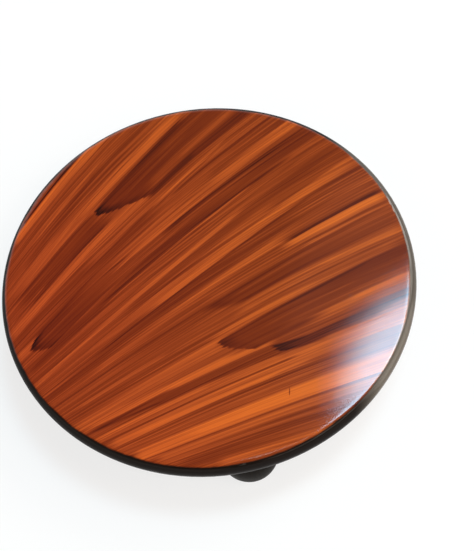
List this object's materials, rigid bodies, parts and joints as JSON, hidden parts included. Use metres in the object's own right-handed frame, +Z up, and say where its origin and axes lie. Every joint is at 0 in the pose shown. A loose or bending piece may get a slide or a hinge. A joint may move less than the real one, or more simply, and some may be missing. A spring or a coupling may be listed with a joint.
{
  "type": "chakla rolling board",
  "caption": "Low round wooden board for rolling out dough, with a rounded dark rim, standing on short turned bun feet that are screwed on from below.",
  "frame": {"origin": "on the surface that the feet stand on, under the centre of the round board", "axes": "+Z up, square to the rolling surface; the front foot is on the -Y side, +X to the right seen from the front"},
  "size_m": [0.254, 0.254, 0.038],
  "materials": {
    "stained_wood": "orange to dark brown brushed stain under clear gloss lacquer",
    "dark_wood": "near-black stain, satin lacquer",
    "screw_steel": "zinc-plated, dull"
  },
  "bodies": {
    "root": {"board": "stained_wood", "foot_front": "dark_wood", "foot_rear_right": "dark_wood", "foot_rear_left": "dark_wood", "screw_front": "screw_steel", "screw_rear_right": "screw_steel", "screw_rear_left": "screw_steel"}
  },
  "joints": []
}
